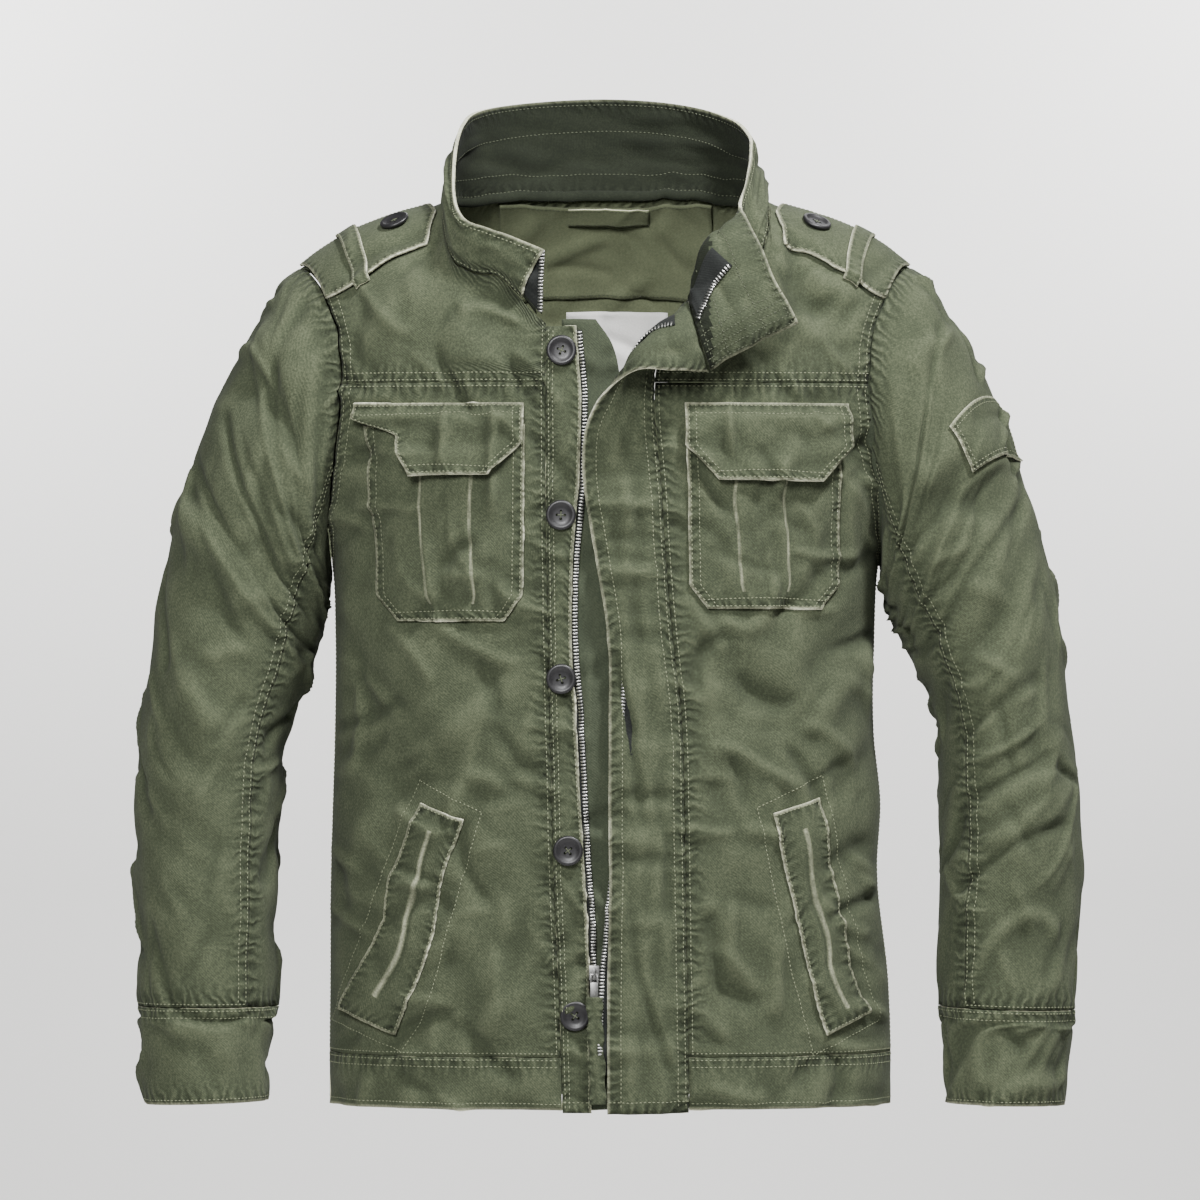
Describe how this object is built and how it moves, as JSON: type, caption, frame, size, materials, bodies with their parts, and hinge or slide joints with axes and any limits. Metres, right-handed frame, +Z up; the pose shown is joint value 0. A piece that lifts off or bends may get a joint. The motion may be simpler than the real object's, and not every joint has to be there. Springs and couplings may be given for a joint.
{
  "type": "field jacket",
  "caption": "Field jacket in washed olive cotton twill, hollow as worn, collar and fly placket fallen open over a metal zip, with patch pockets, slanted welts and shoulder straps.",
  "frame": {"origin": "Between the wearer's shoulders, level with the back neck seam: the middle of the oval that the body's sections are built on.", "axes": "+Z up, -Y the jacket's front, +X towards the wearer's left sleeve. The jacket is upright as worn."},
  "size_m": [0.7343, 0.2943, 0.7851],
  "materials": {
    "olive_twill": "washed cotton twill, matt",
    "olive_twill_inside": "washed cotton twill, matt, shaded",
    "zip_tape": "woven tape, matt",
    "label_cloth": "plain woven label",
    "button_plastic": "moulded, half matt",
    "zip_metal": "cast and plated, worn"
  },
  "bodies": {
    "jacket": {"front_left": "olive_twill", "yoke_front_left": "olive_twill", "hem_front_left": "olive_twill", "sleeve_upper_left": "olive_twill", "sleeve_under_left": "olive_twill", "cuff_left": "olive_twill", "chest_pocket_left": "olive_twill", "pocket_flap_left": "olive_twill", "pocket_welt_left": "olive_twill", "epaulette_left": "olive_twill", "epaulette_loop_left": "olive_twill", "front_right": "olive_twill", "yoke_front_right": "olive_twill", "hem_front_right": "olive_twill", "sleeve_upper_right": "olive_twill", "sleeve_under_right": "olive_twill", "cuff_right": "olive_twill", "chest_pocket_right": "olive_twill", "pocket_flap_right": "olive_twill", "pocket_welt_right": "olive_twill", "epaulette_right": "olive_twill", "epaulette_loop_right": "olive_twill", "back": "olive_twill", "yoke_back": "olive_twill", "hem_back": "olive_twill", "button_placket": "olive_twill", "fly_placket": "olive_twill", "collar": "olive_twill", "hanger_loop": "olive_twill", "sleeve_patch": "olive_twill", "zip_guard": "olive_twill_inside", "back_facing": "olive_twill_inside", "zip_left": "zip_tape", "zip_right": "zip_tape", "collar_zip_left": "zip_tape", "collar_zip_right": "zip_tape", "label": "label_cloth", "epaulette_button_left": "button_plastic", "epaulette_button_right": "button_plastic", "front_button_1": "button_plastic", "front_button_2": "button_plastic", "front_button_3": "button_plastic", "front_button_4": "button_plastic", "front_button_5": "button_plastic", "zip_slider": "zip_metal"},
    "pull": {"zip_pull": "zip_metal", "pull_strip": "olive_twill"}
  },
  "joints": [
    {"name": "zip_pull_swing", "type": "hinge", "parent": "jacket", "child": "pull", "pos_m": [-0.009, -0.12811, -0.5974], "axis": [-1, 0, 0], "range_deg": [0, 120]}
  ]
}
